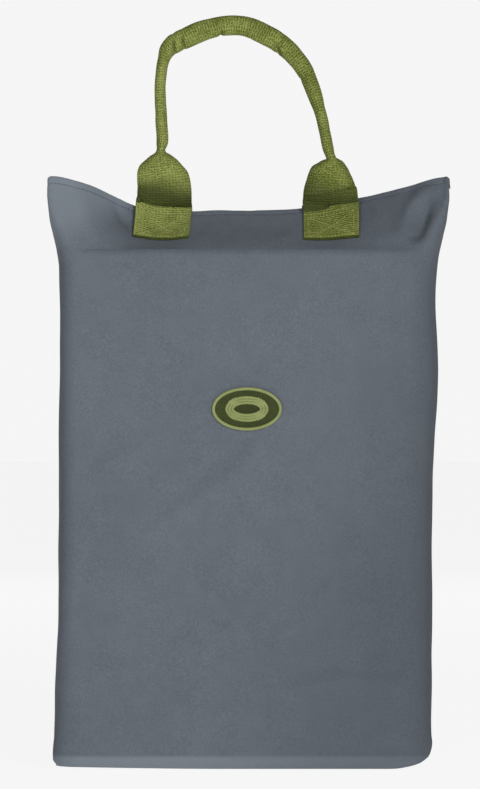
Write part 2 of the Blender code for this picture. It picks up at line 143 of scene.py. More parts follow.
def through(knots, at, loose=False):
    """A smooth line through (place, value) knots. Unless it is loose, it never overshoots them."""
    xs, ys = np.array(knots, float).T
    at = np.clip(at, xs[0], xs[-1])
    step = np.diff(xs)
    slope = np.diff(ys) / step
    tangent = np.concatenate([slope[:1], np.zeros(len(xs) - 2), slope[-1:]])
    if loose:
        tangent[1:-1] = (slope[:-1] * step[1:] + slope[1:] * step[:-1]) / (step[:-1] + step[1:])
    else:
        same = slope[:-1] * slope[1:] > 0
        total = np.where(same, slope[:-1] + slope[1:], 1)
        tangent[1:-1] = np.where(same, 2 * slope[:-1] * slope[1:] / total, 0)
    k = np.clip(np.searchsorted(xs, at, "right") - 1, 0, len(xs) - 2)
    f = (at - xs[k]) / step[k]
    g = 1 - f
    ends = ys[k] * (1 + 2 * f) * g * g + ys[k + 1] * (1 + 2 * g) * f * f
    return ends + step[k] * (tangent[k] * f * g * g - tangent[k + 1] * f * f * g)


def vectors(x, y, z):
    return np.stack(np.broadcast_arrays(x, y, z), axis=-1).astype(float)


def unit(v):
    return v / np.maximum(np.linalg.norm(v, axis=-1, keepdims=True), 1e-12)


def grid(columns, rows, left=0.0, right=1.0, bottom=0.0, top=1.0):
    return np.meshgrid(np.linspace(left, right, columns + 1), np.linspace(bottom, top, rows + 1))


def rumple(points, size, seed, stretch=(1, 1, 1)):
    """Smooth noise from -1 to 1 at each point, with features about size across, or longer along a stretched axis."""
    flat = (points / (np.array(stretch) * size)).reshape(-1, 3) + seed * 17.3
    return np.array([noise.noise(Vector(p)) for p in flat]).reshape(points.shape[:-1])


def ridge(points, line, width):
    """1 on a line of (x, z) corners and fading to 0 about width away, for folds seen from the front."""
    here = points[..., (0, 2)]
    nearest = np.full(here.shape[:-1], 1e9)
    fade = np.zeros(here.shape[:-1])
    line = np.array(line)
    count = len(line) - 1
    for k in range(count):
        a, run = line[k], line[k + 1] - line[k]
        t = np.clip(((here - a) @ run) / (run @ run), 0, 1)
        distance = np.linalg.norm(here - a - t[..., None] * run, axis=-1)
        closer = distance < nearest
        nearest = np.where(closer, distance, nearest)
        fade = np.where(closer, np.sin(pi * np.clip(0.06 + 0.88 * (k + t) / count, 0, 1)), fade)
    return np.exp(-((nearest / width) ** 2)) * fade


# Surfaces


class Skin:
    """A grid of points, [row, column], that faces out where its columns cross its rows."""

    def __init__(self, points, relief=None):
        self.points = points
        self.aim()
        if relief is not None:
            self.points = points + self.normals * relief(points)[..., None]
            self.aim()

    def aim(self):
        down, across = np.gradient(self.points, axis=0), np.gradient(self.points, axis=1)
        self.normals = unit(np.cross(across, down))

    def mirrored(self):
        """The same skin on the back of the bag."""
        return Skin((self.points * np.array((1, -1, 1)))[:, ::-1])

    def at(self, across, up, lift=0.0):
        """Points of the skin at shares of its width and height, lifted off it."""
        rows, columns = (n - 1 for n in self.points.shape[:2])
        r, c = np.broadcast_arrays(np.clip(up, 0, 1) * rows, np.clip(across, 0, 1) * columns)
        r0, c0 = np.minimum(r.astype(int), rows - 1), np.minimum(c.astype(int), columns - 1)
        fr, fc = (r - r0)[..., None], (c - c0)[..., None]

        def sample(values):
            low = mix(values[r0, c0], values[r0, c0 + 1], fc)
            high = mix(values[r0 + 1, c0], values[r0 + 1, c0 + 1], fc)
            return mix(low, high, fr)

        return sample(self.points) + unit(sample(self.normals)) * lift

    def normal_at(self, across, up):
        return unit(self.at(across, up, 1.0) - self.at(across, up))

    def lengths(self, axis):
        """How far each row, or each column for axis 1, lies along the skin."""
        step = np.linalg.norm(np.diff(self.points, axis=axis), axis=-1).mean(axis=1 - axis)
        return np.append(0, np.cumsum(step))

    def piece(self, name, look, thickness):
        """The skin as an object, with its thickness behind it and UVs in metres."""
        rows, columns = self.points.shape[:2]
        first = np.arange(rows * columns).reshape(rows, columns)[:-1, :-1].reshape(-1, 1)
        faces = first + np.array((0, 1, columns + 1, columns))
        mesh = bpy.data.meshes.new(name)
        mesh.from_pydata(self.points.reshape(-1, 3).tolist(), [], faces.tolist())
        flat = np.stack(np.meshgrid(self.lengths(1), self.lengths(0)), axis=-1).reshape(-1, 2)
        corners = np.empty(len(mesh.loops), int)
        mesh.loops.foreach_get("vertex_index", corners)
        mesh.uv_layers.new(name="UVMap").data.foreach_set("uv", flat[corners].ravel())
        mesh.shade_smooth()
        obj = add_object(name, mesh, look)
        if thickness:
            thicken(obj, thickness)
        return obj


def thicken(obj, thickness):
    """Gives a sheet its thickness, with crisp cut edges, so that sheets which meet edge to edge shade as one."""
    solidify = obj.modifiers.new("thickness", "SOLIDIFY")
    solidify.thickness = thickness
    solidify.offset = -1.0
    made = bpy.data.meshes.new_from_object(obj.evaluated_get(bpy.context.evaluated_depsgraph_get()))
    obj.modifiers.clear()
    obj.data = made
    made.set_sharp_from_angle(angle=CUT_EDGE)


def add_object(name, mesh, look):
    obj = bpy.data.objects.new(name, mesh)
    bpy.context.scene.collection.objects.link(obj)
    mesh.materials.append(look)
    return obj


def stitches(name, path, normals, look, pitch=0.0030, gap=0.0008, radius=0.00028, sides=6):
    """A row of stitches on a line of surface points: each one comes up, arches over and goes down."""
    along = np.append(0, np.cumsum(np.linalg.norm(np.diff(path, axis=0), axis=1)))
    count = max(1, int(round(along[-1] / pitch)))
    starts = np.arange(count) * along[-1] / count
    length = along[-1] / count - gap
    shares = np.array((0.0, 0.14, 0.5, 0.86, 1.0))
    rise = np.array((-0.9, 0.45, 0.75, 0.45, -0.9)) * radius
    girth = np.array((0.35, 0.95, 1.0, 0.95, 0.35)) * radius
    at = starts[:, None] + shares * length
    centre = np.stack([np.interp(at, along, path[:, k]) for k in range(3)], axis=-1)
    up = unit(np.stack([np.interp(at, along, normals[:, k]) for k in range(3)], axis=-1))
    ahead = unit(np.gradient(centre, axis=1))
    side = unit(np.cross(ahead, up))
    centre = centre + up * rise[:, None]
    turn = 2 * pi * np.arange(sides) / sides
    ring = side[:, :, None] * np.cos(turn)[:, None] + up[:, :, None] * np.sin(turn)[:, None]
    points = centre[:, :, None] + ring * girth[:, None, None]
    index = np.arange(count * 5 * sides).reshape(count, 5, sides)
    after = np.roll(index, -1, axis=2)
    quads = np.stack((index[:, :-1], after[:, :-1], after[:, 1:], index[:, 1:]), axis=-1).reshape(-1, 4)
    caps = index[:, 0, ::-1].tolist() + index[:, -1].tolist()
    mesh = bpy.data.meshes.new(name)
    mesh.from_pydata(points.reshape(-1, 3).tolist(), [], quads.tolist() + caps)
    mesh.shade_smooth()
    return add_object(name, mesh, look)


# Materials


class Look:
    """A material's node tree round one Principled shader."""

    def __init__(self, name, roughness):
        self.material = bpy.data.materials.new(name)
        self.material.use_nodes = True
        self.tree = self.material.node_tree
        self.shader = self.tree.nodes["Principled BSDF"]
        self.shader.inputs["Roughness"].default_value = roughness
        self.shader.inputs["Specular IOR Level"].default_value = 0.25

    def node(self, kind, sockets=(), **settings):
        made = self.tree.nodes.new(kind)
        for key, value in settings.items():
            setattr(made, key, value)
        for key, value in dict(sockets).items():
            if isinstance(value, bpy.types.NodeSocket):
                self.tree.links.new(value, made.inputs[key])
            else:
                made.inputs[key].default_value = value
        return made

    def math(self, operation, a, b=0.0):
        return self.node("ShaderNodeMath", {0: a, 1: b}, operation=operation).outputs[0]

    def plus(self, *values):
        total = values[0]
        for value in values[1:]:
            total = self.math("ADD", total, value)
        return total

    def minus(self, a, b):
        return self.math("SUBTRACT", a, b)

    def times(self, *values):
        product = values[0]
        for value in values[1:]:
            product = self.math("MULTIPLY", product, value)
        return product

    def least(self, a, b):
        return self.math("MINIMUM", a, b)

    def most(self, a, b):
        return self.math("MAXIMUM", a, b)

    def size(self, value):
        return self.math("ABSOLUTE", value)

    def split(self, vector):
        return self.node("ShaderNodeSeparateXYZ", {0: vector}).outputs

    def uv(self):
        return self.split(self.node("ShaderNodeUVMap", uv_map="UVMap").outputs[0])[:2]

    def place(self):
        return self.node("ShaderNodeTexCoord").outputs["Object"]

    def noise(self, vector, scale, detail=3.0):
        return self.node("ShaderNodeTexNoise", {"Vector": vector, "Scale": scale, "Detail": detail}).outputs[0]

    def spread(self, value, low, high):
        """A 0.3 to 0.7 noise value stretched to run from low to high."""
        sockets = {"Value": value, "From Min": 0.3, "From Max": 0.7, "To Min": low, "To Max": high}
        return self.node("ShaderNodeMapRange", sockets).outputs[0]

    def wave(self, value, pitch):
        return self.math("SINE", self.times(value, 2 * pi / pitch))

    def ramp(self, value, start, end):
        """0 at start, 1 at end and smooth between."""
        sockets = {"Value": value, "From Min": start, "From Max": end}
        return self.node("ShaderNodeMapRange", sockets, interpolation_type="SMOOTHSTEP").outputs[0]

    def mixed(self, low, high, share):
        """A mix of two colours, each a socket or three numbers."""
        made = self.node("ShaderNodeMix", data_type="RGBA")
        for key, value in (("Factor", share), ("A", low), ("B", high)):
            socket = next(s for s in made.inputs if s.name == key and s.type in ("RGBA", "VALUE") and s.enabled)
            if isinstance(value, bpy.types.NodeSocket):
                self.tree.links.new(value, socket)
            else:
                socket.default_value = (*value, 1.0)
        return next(s for s in made.outputs if s.type == "RGBA")

    def finish(self, colour, height, depth):
        """Sets the colour, and a bump of a depth in metres from a height."""
        self.tree.links.new(colour, self.shader.inputs["Base Color"])
        bump = self.node("ShaderNodeBump", {"Height": height, "Distance": depth, "Strength": 1.0})
        self.tree.links.new(bump.outputs[0], self.shader.inputs["Normal"])
        return self.material


def tinted(colour, factor):
    return tuple(factor * value for value in colour)


def woven_cloth(name, dark, light, pitch=0.0007):
    """A tight plain weave with a soft nap. It has painted shade low on the right, along its corners and inside the
    right ear, and a painted highlight at the left ear and round the base."""
    look = Look(name, roughness=0.85)
    u, v = look.uv()
    place = look.place()
    x, _, z = look.split(place)
    weave = look.times(look.wave(u, pitch), look.wave(v, pitch))
    slub = look.noise(place, 900.0, 2.0)
    drift = look.spread(look.noise(place, 9.0, 4.0), 0.36, 0.64)
    mottle = look.spread(look.noise(place, 70.0, 3.0), -0.10, 0.10)
    share = look.plus(drift, mottle, look.spread(slub, -0.45, 0.45), look.times(weave, 0.12))
    # Painted shade: darker low on the right, along the upright corners below the ledge, and inside the right ear.
    low_right_shade = look.ramp(look.minus(x, look.times(z, 0.35)), -0.08, 0.12)
    corners = look.times(look.ramp(look.size(x), 0.146, 0.166), look.ramp(z, 0.475, 0.450))
    ear = look.times(look.ramp(x, 0.085, 0.105), look.ramp(x, 0.150, 0.135), look.ramp(z, 0.478, 0.490))
    painted_shade = look.plus(look.times(low_right_shade, 0.42), look.times(corners, 0.18), look.times(ear, 0.15))
    # Painted highlight: paler at the left ear and along the bottom 15 mm round the base.
    left_ear_light = look.ramp(look.minus(z, look.times(x, 0.45)), 0.540, 0.575)
    painted_light = look.most(left_ear_light, look.ramp(z, 0.0145, 0.0105))
    with_painted_light = look.mixed(look.mixed(dark, light, share), tinted(light, 1.35), look.times(painted_light, 0.7))
    colour = look.mixed(with_painted_light, tinted(dark, 0.5), painted_shade)
    return look.finish(colour, look.plus(look.times(weave, 0.5), slub), depth=0.00012)


YARN_PITCH, PICK_PITCH = 0.0030, 0.0024
# The colour of the shade painted on the webbing
WEBBING_SHADE_COLOUR = (0.047, 0.060, 0.010)
CREASE_HALF_WIDTH = 0.0024
# The grip's creases, where shade is painted as dark lines:
CREASE_LINES = (  # dark lines where the grip is creased: x, z, lean and half length
    (-0.0632, 0.6572, -0.16, 0.0070),
    (-0.0551, 0.6611, -0.15, 0.0060),
    (-0.0199, 0.6670, 0.49, 0.0060),
    (0.0330, 0.6536, -0.50, 0.0065),
)


def webbing_painted_shade(look, u, v, x, z, strap):
    """Painted shade in the folds just above the webbing's sewn ends, a painted shadow along its cut ends at their
    feet, and painted shade in its creases, from 0 to 1.
    """
    left, right = look.minus(v, strap.roots[0]), look.minus(strap.roots[1], v)
    slant = look.times(u, 0.18)
    high = look.least(look.plus(left, slant), look.minus(right, slant))
    low = look.least(left, look.plus(right, look.minus(slant, 0.008)))
    # Painted shade in the fold above each sewn end, and a painted shadow along the cut ends at their feet.
    fold = look.times(look.ramp(high, 0.0430, 0.0170), look.ramp(low, -0.0004, 0.0012))
    from_end = look.least(v, look.minus(strap.skin.lengths(0)[-1], v))
    painted_shade = look.most(fold, look.ramp(from_end, 0.0016, 0.0008))
    for crease_x, crease_z, lean, half_length in CREASE_LINES:
        up = look.minus(z, crease_z)
        beside = look.minus(look.minus(x, crease_x), look.times(up, lean))
        beside = look.ramp(look.size(beside), CREASE_HALF_WIDTH, 0.0004)
        inside = look.ramp(look.size(up), half_length, half_length * 0.4)
        painted_shade = look.most(painted_shade, look.times(beside, inside, 0.72))
    return painted_shade


def webbing_weave(name, dark, light, strap):
    """Coarse webbing: fat yarns over and under each other, lighter on their crowns, with painted shade in its folds
    and creases and towards the right.
    """
    look = Look(name, roughness=0.75)
    u, v = look.uv()
    place = look.place()
    x, _, z = look.split(place)
    wobble = look.times(look.noise(place, 220.0, 2.0), 0.0030)
    yarns = look.wave(look.plus(u, wobble), YARN_PITCH)
    picks = look.wave(look.plus(v, wobble), PICK_PITCH)
    crowns = look.times(picks, look.plus(look.times(yarns, 0.5), 0.6))
    fibre = look.noise(place, 900.0, 2.0)
    drift = look.spread(look.noise(place, 60.0, 3.0), -0.20, 0.20)
    share = look.plus(look.times(crowns, 0.36), look.spread(fibre, 0.05, 0.81), drift)
    # Painted shade: darker towards the right.
    share = look.minus(share, look.times(x, 1.6))
    share = look.minus(share, look.times(look.ramp(z, 0.640, 0.662), 0.09))
    # Painted shade at the roots, along the cut ends and in the creases.
    painted_shade = look.times(webbing_painted_shade(look, u, v, x, z, strap), 0.95)
    colour = look.mixed(look.mixed(dark, light, share), WEBBING_SHADE_COLOUR, painted_shade)
    return look.finish(colour, look.plus(look.times(crowns, 0.7), look.times(fibre, 0.6)), depth=0.0006)


def twisted_thread(name, dark, light):
    """Bonded thread: the ply's twist shows as fine slanted bands."""
    look = Look(name, roughness=0.5)
    place = look.place()
    ply = look.noise(place, 2600.0, 1.0)
    drift = look.noise(place, 120.0, 2.0)
    share = look.plus(look.spread(ply, 0.1, 0.7), look.spread(drift, -0.1, 0.2))
    return look.finish(look.mixed(dark, light, share), ply, depth=0.00008)


def moulded_sheet(name, dark, light):
    """Rolled black plastic sheet, with a fine leathery grain and scuffs."""
    look = Look(name, roughness=0.5)
    place = look.place()
    grain = look.noise(place, 700.0, 2.0)
    scuff = look.noise(place, 22.0, 6.0)
    share = look.plus(look.spread(grain, 0.1, 0.4), look.spread(scuff, 0.0, 0.5))
    return look.finish(look.mixed(dark, light, share), grain, depth=0.00008)


# The bag's skin


def side_width(height, right):
    """The half width of the skin at the seams, at a height, on the left or where right is 1."""
    bulge = mix(0.0040, 0.0052, right) * smooth(height / 0.06) * (1 - 0.75 * smooth((height - 0.485) / 0.035))
    return mix(through(LEFT_SIDE, height), through(RIGHT_SIDE, height), right) - bulge, bulge


def corner(share, flat_share, width, radius):
    """(x, y set back) for a share of the way from the middle to the seam: flat, then round the corner."""
    part = np.clip((np.abs(share) - flat_share) / (1 - flat_share), 0, 1) * SEAM_ANGLE
    flat = np.minimum(np.abs(share) / flat_share, 1) * (width - radius)
    return np.sign(share) * (flat + radius * np.sin(part)), radius * (1 - np.cos(part))


FLAT_SHARE = 0.935
BODY_CORNER = 0.0135
EAR_CORNER = 0.0035


def face_depth(share, height):
    """How far the front stands from the mid plane: nearly flat, a little full in the middle."""
    full = FACE_BULGE * np.cos(pi / 2 * np.clip(share, -1, 1)) * np.sin(pi * np.clip(height / 0.471, 0, 1)) ** 0.7
    top = smooth((height - 0.38) / 0.08) * 0.0015
    return -FRONT_LOW.y + 0.0008 + full + top


def ledge_share(share):
    """How sharply the cloth bends over the boards: fully, and not at all at the corners."""
    return 1 - smooth((np.abs(share) - 0.80) / 0.17)


def body_point(share, up):
    """The front from its base edge, up 0, to the fold over the boards, up 1. share is -1 to 1 from seam to seam."""
    arc, top = 0.06, 0.94
    turn = np.clip(up / arc, 0, 1) * pi / 2
    rise = np.clip((up - arc) / (top - arc), 0, 1)
    over = np.clip((up - top) / (1 - top), 0, 1) * pi / 4
    bend_start = COLLAR_FOLD.z - LEDGE_RADIUS * sin(pi / 4)
    height = np.where(up < arc, BASE_RADIUS * (1 - np.cos(turn)), mix(BASE_RADIUS, bend_start, rise))
    height = height + LEDGE_RADIUS * np.sin(over)
    right = (share > 0).astype(float)
    width, _ = side_width(height, right)
    x, back = corner(share, FLAT_SHARE, width, BODY_CORNER)
    inset = BASE_RADIUS * (1 - np.sin(turn)) + LEDGE_RADIUS * (1 - np.cos(over)) * ledge_share(share)
    y = -face_depth(share, height) + back + inset
    lift = through(BASE_LIFT, x) * (1 - smooth(height / 0.05))
    return vectors(x, y, height + lift)


def by_side(tables, share):
    """Reads the left or the right one of two tables at a share of the half width."""
    part = np.abs(share)
    return np.where(share > 0, through(tables[1], part), through(tables[0], part))


def collar_spine(share, up):
    """(y, z) of the collar, from the fold, up 0, to the hem, up 1, before the corner's turn."""
    foot = body_point(np.sign(share) * np.minimum(np.abs(share), FLAT_SHARE), np.ones_like(share))
    hem = np.stack((-MOUTH_HALF_GAP - by_side(HEM_DEPTH, share), by_side(HEM_HEIGHT, share)), axis=-1)
    start = foot[..., 1:]
    length = np.linalg.norm(hem - start, axis=-1)[..., None]
    bend = np.radians(by_side(LEDGE_BEND, share))[..., None]
    rise = np.radians(by_side(HEM_STEEPNESS, share))[..., None]
    first = start + 0.28 * length * np.concatenate((np.sin(bend), np.cos(bend)), axis=-1)
    last = hem - 0.36 * length * np.concatenate((np.cos(rise), np.sin(rise)), axis=-1)
    t = up[..., None]
    s = 1 - t
    return s**3 * start + 3 * s * s * t * first + 3 * s * t * t * last + t**3 * hem


def collar_point(share, up):
    spine = collar_spine(share, up)
    right = (share > 0).astype(float)
    width, _ = side_width(spine[..., 1], right)
    radius = mix(BODY_CORNER, EAR_CORNER, smooth(up))
    x, back = corner(share, FLAT_SHARE, width, radius)
    return vectors(x, spine[..., 0] + back, spine[..., 1])


def side_point(across, up, right):
    """A side from its base edge, up 0, over the fold, up 1, to the hem, up 2. across is -1 to 1, back to front."""
    seam_share = np.full_like(across, 1.0 if right else -1.0)
    low = body_point(seam_share, np.clip(up, 0, 1))
    high = collar_point(seam_share, np.clip(up - 1, 0, 1))
    seam = np.where((up > 1)[..., None], high, low)
    radius = mix(BODY_CORNER, EAR_CORNER, smooth(up - 1))
    height = seam[..., 2]
    width, bulge = side_width(height, float(right))
    depth = -seam[..., 1] + radius * (1 - np.cos(SEAM_ANGLE))
    seam_x = np.abs(seam[..., 0])
    width = seam_x + radius * (1 - np.sin(SEAM_ANGLE))
    flat_share = 0.80
    turn = pi / 2 - np.clip((np.abs(across) - flat_share) / (1 - flat_share), 0, 1) * (pi / 2 - SEAM_ANGLE)
    along = np.minimum(np.abs(across) / flat_share, 1)
    x = width - radius + radius * np.sin(turn) + bulge * (1 - along**2)
    y = -np.sign(across) * (along * (depth - radius) + radius * np.cos(turn))
    dip = 0.0035 * smooth(up - 1) * (1 - across**2)
    return vectors(x if right else -x, y, height - dip)


# Folds in the ears, as lines of (x, z) points
RIGHT_EAR_RIDGE = ((0.1450, 0.482), (0.1480, 0.498), (0.1545, 0.512), (0.1640, 0.522), (0.1770, 0.527))
RIGHT_EAR_VALLEY = ((0.1520, 0.477), (0.1590, 0.489), (0.1630, 0.502), (0.1700, 0.514))
LEFT_EAR_VALLEY = ((-0.1160, 0.516), (-0.1110, 0.502), (-0.1020, 0.490))


def seam_fade(share):
    """1 over most of a piece, and 0 at its seams, so that pieces sewn together stay together."""
    return smooth((1 - np.abs(share)) / 0.14)


def round_corners(across):
    """Shares from seam to seam with a fifth of the columns at each end, where the skin turns the corner."""
    part = np.abs(across)
    return np.sign(across) * np.where(part < 0.8, part / 0.8 * FLAT_SHARE, mix(FLAT_SHARE, 1, (part - 0.8) / 0.2))


def collar_relief(points):
    free = smooth((points[..., 2] - 0.472) / 0.012)
    pull = 0.0045 * ridge(points, RIGHT_EAR_RIDGE, 0.0075) - 0.0080 * ridge(points, RIGHT_EAR_VALLEY, 0.0078)
    pull += -0.0028 * ridge(points, LEFT_EAR_VALLEY, 0.0045)
    soft = 0.0016 * rumple(points, 0.030, 1, (1, 2, 1.6)) + 0.0005 * rumple(points, 0.011, 2, (1, 2, 2))
    reach = np.min([np.abs(points[..., 0] - mix(*root, 0.5)) for root in ROOTS], axis=0)
    off_webbing = smooth((reach - 0.026) / 0.014)
    return free * (pull + soft * off_webbing)


# Soft folds in the front, as a line of (x, z) points, a height and a width: two long pulls from the badge down to the
# left, short ones beside the badge, and creases low on the right
LONG_PULL = (
    (-0.1173, 0.1808), (-0.0836, 0.2152), (-0.0438, 0.2432), (-0.0041, 0.2712), (0.0122, 0.2992),
    (0.0300, 0.3740),
)
FRONT_FOLDS = (
    (LONG_PULL, 0.0022, 0.0085),
    (((-0.1500, 0.2570), (-0.1170, 0.2793), (-0.0719, 0.3019)), 0.0014, 0.0070),
    (((0.0200, 0.1140), (0.0540, 0.1400)), 0.0010, 0.0050),
    (((0.0080, 0.3560), (0.0170, 0.3800)), -0.0012, 0.0050),
    (((0.0480, 0.0720), (0.0746, 0.0815), (0.1144, 0.0818), (0.1640, 0.0772)), 0.0020, 0.0050),
    (((0.1100, 0.2200), (0.1500, 0.1900), (0.1700, 0.1500)), -0.0017, 0.0160),
    (((0.1150, 0.0240), (0.1450, 0.0140), (0.1640, 0.0130)), -0.0017, 0.0050),
)


def body_relief(points):
    soft = 0.0017 * rumple(points, 0.085, 3, (1.2, 2, 1)) + 0.0005 * rumple(points, 0.024, 4, (1, 2, 1.3))
    return soft * smooth(points[..., 2] / 0.02)


def front_relief(points):
    """The front's relief, which leaves its top edge and the cloth under the badge smooth."""
    x, z = points[..., 0], points[..., 2]
    from_badge = np.hypot((x - BADGE_CENTRE[0]) / BADGE_HALF_WIDTH, (z - BADGE_CENTRE[2]) / BADGE_HALF_HEIGHT)
    free = smooth((from_badge - 1) / 0.7) * smooth((0.466 - z) / 0.014)
    folds = sum(height * ridge(points, line, width) for line, height, width in FRONT_FOLDS)
    return free * (body_relief(points) + folds)


def hem_turned(points):
    """Adds the turned hem to the top of a grid: over the edge in a tight roll, and down inside."""
    rise = unit(points[-1] - points[-2])
    side = np.gradient(points[-1], axis=0)
    inward = -unit(np.cross(side, rise))
    rolls = [points[:-1], points[-1:]]
    for angle in np.linspace(0, pi, 7)[1:]:
        over = inward * HEM_FOLD * (1 - np.cos(angle)) + rise * HEM_FOLD * np.sin(angle)
        rolls.append((points[-1] + over)[None])
    for drop in np.linspace(0, HEM_WIDTH, 5)[1:]:
        rolls.append((points[-1] + inward * 2 * HEM_FOLD - rise * drop)[None])
    return np.concatenate(rolls)


def stitch_groove(points):
    """Presses a shallow line into a grid's cloth, below its top edge, where the hem is sewn."""
    below = np.linalg.norm(points - points[-1:], axis=-1)
    return -0.00035 * np.exp(-(((below - HEM_STITCH_DROP) / 0.0009) ** 2))


def hemmed(points, relief, fade):
    """A skin with the hem turned over its top edge, and the skin without it."""
    plain = Skin(points, lambda p: fade * relief(p) + stitch_groove(p))
    return Skin(hem_turned(plain.points)), plain


def hem_stitches(name, plain, look):
    """The row of stitching that holds a hem, along a skin without its hem."""
    top = plain.points[-1]
    reach = np.linalg.norm(plain.points - top, axis=-1)
    rows, columns = plain.points.shape[:2]
    at = np.array([np.interp(HEM_STITCH_DROP, reach[::-1, c], np.arange(rows)[::-1]) for c in range(columns)])
    across = np.linspace(0, 1, columns)[1:-1]
    up = at[1:-1] / (rows - 1)
    return stitches(name, plain.at(across, up), plain.normal_at(across, up), look, 0.0032, 0.0009, 0.00024)


# Assembly of the cloth

PANEL_COLUMNS, PANEL_ROWS = 120, 130
SIDE_COLUMNS, COLLAR_ROWS = 40, 65


def cloth_sheet(skin):
    """Measures a cloth piece's skin laid flat, its width and its length, and does nothing more with them."""
    width, length = skin.lengths(1)[-1], skin.lengths(0)[-1]


MID_SHARE = 0.475  # where the part of the collar that opens meets the wings, under the webbing


def make_cloth(looks):
    for end in ("front", "back"):
        across, up = grid(PANEL_COLUMNS, PANEL_ROWS, -1, 1)
        share = round_corners(across)
        panel = Skin(body_point(share, up), lambda p: seam_fade(share) * front_relief(p))
        if end == "back":
            panel = panel.mirrored()
        piece = panel.piece(f"{end}_panel_cloth", looks["cloth"], CLOTH)
        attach(piece, "bag")
        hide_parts(f"{end}_panel")
        cloth_sheet(panel)
        make_collar(end, looks)
    for side, right in (("left", False), ("right", True)):
        across, up = grid(SIDE_COLUMNS, 2 * PANEL_ROWS, -1, 1, 0, 2)  # its rows meet the panels' rows
        if right:
            across = -across
        full, plain = hemmed(side_point(across, up, right), body_relief, seam_fade(across))
        piece = full.piece(f"{side}_gusset_cloth", looks["cloth"], CLOTH)
        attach(piece, "bag")
        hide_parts(f"{side}_gusset", f"{side}_gusset_hem")
        cloth_sheet(full)
        thread = hem_stitches(f"{side}_gusset_hem_stitches", plain, looks["thread"])
        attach(thread, "bag")


def make_collar(end, looks):
    body = f"{end}_collar"
    spans = (("left", -1.0, -MID_SHARE, 80), ("middle", -MID_SHARE, MID_SHARE, 90), ("right", MID_SHARE, 1.0, 80))
    for span, low, high, columns in spans:
        share, up = grid(columns, COLLAR_ROWS, low, high)
        full, plain = hemmed(collar_point(share, up), collar_relief, seam_fade(share))
        if end == "back":
            full, plain = full.mirrored(), plain.mirrored()
        piece = full.piece(f"{end}_collar_{span}_cloth", looks["cloth"], CLOTH)
        thread = hem_stitches(f"{end}_collar_{span}_hem_stitches", plain, looks["thread"])
        if span == "middle":
            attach(piece, body)
            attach(thread, body)
            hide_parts(body, f"{end}_collar_hem")
        else:
            for part in (piece, thread):
                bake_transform(part)
            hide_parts(f"{end}_collar_{span}_wing", f"{end}_{span}_wing_hem")
        cloth_sheet(full)


def make_base(looks):
    across, up = grid(60, 24, -1, 1, 1, -1)
    edge = body_point(across, np.zeros_like(across))
    base = Skin(vectors(edge[..., 0], -edge[..., 1] * up, edge[..., 2] * up**4))
    piece = base.piece("base_cloth", looks["cloth"], 0)
    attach(piece, "bag")
    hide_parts("base_panel")
    cloth_sheet(base)


TAPE_INSET = 0.0017  # from the frame's place, so that the tape lies inside the cloth's round corner
TAPE_HALF_WIDTH = 0.00112


def make_bindings(looks):
    """Tape folded round the raw edges of each upright seam, inside the corner, and sewn through."""
    for name in frame["nodes"]:
        if not name.endswith("seam_binding"):
            continue
        low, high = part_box(name)
        middle = (low + high) / 2
        middle -= Vector((np.sign(middle.x), np.sign(middle.y), 0)) * TAPE_INSET
        turn, height = grid(24, 150, 0, 2 * pi, low.z, high.z)
        x, y = (np.sign(f) * np.abs(f) ** 0.6 for f in (np.cos(turn), np.sin(turn)))
        reach = TAPE_HALF_WIDTH + 0.00010 * rumple(vectors(x, y, height), 0.014, 7, (400, 400, 1))
        points = vectors(middle.x + reach * x, middle.y + reach * y, height)
        tape = Skin(points)
        piece = tape.piece(f"{name}_tape", looks["tape"], 0.0003)
        inward = (np.arctan2(-np.sign(middle.y), -np.sign(middle.x)) % (2 * pi)) / (2 * pi)
        up = np.linspace(0.005, 0.995, 300)
        line = np.full_like(up, inward)
        thread = stitches(f"{name}_stitches", tape.at(line, up), tape.normal_at(line, up), looks["thread"], 0.0030)
        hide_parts(name)
        for part in (piece, thread):
            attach(part, "bag")


